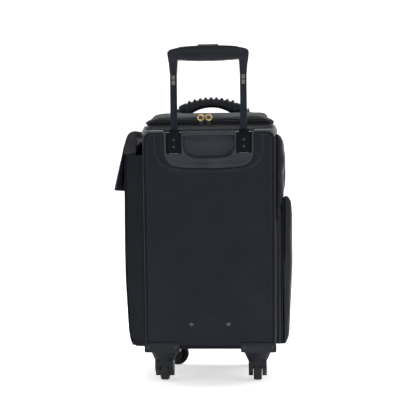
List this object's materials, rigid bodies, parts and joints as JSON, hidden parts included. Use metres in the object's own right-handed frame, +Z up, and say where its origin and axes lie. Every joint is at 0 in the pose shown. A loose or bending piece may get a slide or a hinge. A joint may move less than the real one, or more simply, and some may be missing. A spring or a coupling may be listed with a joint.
{
  "type": "pilot rolling flight case",
  "caption": "Soft-sided leather rolling case on swivel casters, with a telescopic trolley handle, zipped lid, carry handle, flapped pocket and open side pocket.",
  "frame": {"origin": "centre of the whole footprint, pockets and flap included, on the floor under the wheels", "axes": "+X across the case to the open pocket, -Y out of the trolley side, +Z up"},
  "size_m": [0.3634, 0.2674, 0.6896],
  "materials": {
    "leather": "satin black grained leather",
    "piping_leather": "satin black leather piping",
    "board": "matte fibre-reinforced board",
    "zip_tape": "woven black tape",
    "moulded_plastic": "fine-textured black moulding",
    "black_tube": "satin black anodised tube",
    "aluminium_tube": "drawn",
    "steel": "plain",
    "dark_screw": "blackened, slightly glossy",
    "bright_rivet": "satin",
    "gold": "polished gold plate",
    "wheel_plastic": "satin black",
    "tyre": "smooth rubber"
  },
  "bodies": {
    "case_body": {"back_panel": "leather", "front_panel": "leather", "left_side_panel": "leather", "right_side_panel": "leather", "base_panel": "board", "piping": "piping_leather", "top_ledge": "leather", "top_collar": "leather", "body_zip_tape": "zip_tape", "lid_hinge_strip": "leather", "well_divider": "board", "front_pad": "leather", "recess_tray": "moulded_plastic", "recess_bezel": "leather", "tube_sockets": "moulded_plastic", "socket_screws": "dark_screw", "outer_tubes": "aluminium_tube", "foot_bracket": "steel", "foot_screws": "dark_screw", "left_pocket": "leather", "right_shoulder": "leather", "right_pocket_panel": "leather", "right_pocket_gussets": "leather", "side_handle_anchors": "leather", "side_handle": "leather", "caster_housings": "moulded_plastic", "caster_screws": "dark_screw"},
    "top_lid": {"lid_panel": "leather", "lid_zip_tape": "zip_tape", "handle_mounts": "steel", "handle_pins": "steel"},
    "carry_handle": {"handle_core": "moulded_plastic", "handle_grip": "moulded_plastic"},
    "trolley_lower": {"mid_tubes": "black_tube", "mid_bushes": "moulded_plastic"},
    "trolley_upper": {"inner_tubes": "black_tube", "lock_blocks": "moulded_plastic", "trolley_grip": "moulded_plastic", "tube_lugs": "bright_rivet", "button_springs": "steel"},
    "release_button": {"release_button": "moulded_plastic", "push_rods": "steel"},
    "pocket_flap": {"pocket_flap": "leather"},
    "zip_slider_left": {"zip_slider_left": "gold"},
    "zip_pull_left": {"zip_pull_left": "gold"},
    "zip_slider_right": {"zip_slider_right": "gold"},
    "zip_pull_right": {"zip_pull_right": "gold"},
    "caster_back_left": {"fork_back_left": "moulded_plastic"},
    "wheel_back_left": {"wheel_back_left": "wheel_plastic", "tyre_back_left": "tyre"},
    "caster_back_right": {"fork_back_right": "moulded_plastic"},
    "wheel_back_right": {"wheel_back_right": "wheel_plastic", "tyre_back_right": "tyre"},
    "caster_front_left": {"fork_front_left": "moulded_plastic"},
    "wheel_front_left": {"wheel_front_left": "wheel_plastic", "tyre_front_left": "tyre"},
    "caster_front_right": {"fork_front_right": "moulded_plastic"},
    "wheel_front_right": {"wheel_front_right": "wheel_plastic", "tyre_front_right": "tyre"}
  },
  "joints": [
    {"name": "lid_hinge", "type": "hinge", "parent": "case_body", "child": "top_lid", "pos_m": [0.01375, 0.1155, 0.529], "axis": [-1, 0, 0], "range_deg": [0, 105]},
    {"name": "carry_handle_tilt", "type": "hinge", "parent": "top_lid", "child": "carry_handle", "pos_m": [0.01375, -0.0065, 0.565], "axis": [1, 0, 0], "range_deg": [-70, 70]},
    {"name": "trolley_lower_slide", "type": "slide", "parent": "case_body", "child": "trolley_lower", "axis": [0, 0, 1], "range_m": [0, 0.2]},
    {"name": "trolley_upper_slide", "type": "slide", "parent": "trolley_lower", "child": "trolley_upper", "axis": [0, 0, 1], "range_m": [-0.112, 0.14]},
    {"name": "release_button_press", "type": "slide", "parent": "trolley_upper", "child": "release_button", "axis": [0, 0, -1], "range_m": [0, 0.004], "stiffness_N_per_m": 800, "springref_m": -0.002, "deforming": ["button_springs"]},
    {"name": "pocket_flap_hinge", "type": "hinge", "parent": "case_body", "child": "pocket_flap", "pos_m": [-0.12925, -0.0045, 0.511], "axis": [0, 1, 0], "range_deg": [-2, 110]},
    {"name": "zip_slide_left", "type": "slide", "parent": "case_body", "child": "zip_slider_left", "axis": [1, 0, 0], "range_m": [-0.095, 0]},
    {"name": "zip_pull_left_swing", "type": "hinge", "parent": "zip_slider_left", "child": "zip_pull_left", "pos_m": [-0.00325, -0.10515, 0.5365], "axis": [1, 0, 0], "range_deg": [0, 150]},
    {"name": "zip_slide_right", "type": "slide", "parent": "case_body", "child": "zip_slider_right", "axis": [1, 0, 0], "range_m": [0, 0.11]},
    {"name": "zip_pull_right_swing", "type": "hinge", "parent": "zip_slider_right", "child": "zip_pull_right", "pos_m": [0.01325, -0.10515, 0.5365], "axis": [1, 0, 0], "range_deg": [0, 150]},
    {"name": "swivel_back_left", "type": "hinge", "parent": "case_body", "child": "caster_back_left", "pos_m": [-0.08195, -0.1015, 0.06], "axis": [0, 0, 1], "continuous": true},
    {"name": "spin_back_left", "type": "hinge", "parent": "caster_back_left", "child": "wheel_back_left", "pos_m": [-0.08195, -0.0915, 0.025], "axis": [1, 0, 0], "continuous": true},
    {"name": "swivel_back_right", "type": "hinge", "parent": "case_body", "child": "caster_back_right", "pos_m": [0.10945, -0.1015, 0.06], "axis": [0, 0, 1], "continuous": true},
    {"name": "spin_back_right", "type": "hinge", "parent": "caster_back_right", "child": "wheel_back_right", "pos_m": [0.10945, -0.0915, 0.025], "axis": [1, 0, 0], "continuous": true},
    {"name": "swivel_front_left", "type": "hinge", "parent": "case_body", "child": "caster_front_left", "pos_m": [-0.08195, 0.0925, 0.06], "axis": [0, 0, 1], "continuous": true},
    {"name": "spin_front_left", "type": "hinge", "parent": "caster_front_left", "child": "wheel_front_left", "pos_m": [-0.07195, 0.0925, 0.025], "axis": [0, 1, 0], "continuous": true},
    {"name": "swivel_front_right", "type": "hinge", "parent": "case_body", "child": "caster_front_right", "pos_m": [0.10945, 0.0925, 0.06], "axis": [0, 0, 1], "continuous": true},
    {"name": "spin_front_right", "type": "hinge", "parent": "caster_front_right", "child": "wheel_front_right", "pos_m": [0.10945, 0.0825, 0.025], "axis": [1, 0, 0], "continuous": true}
  ]
}
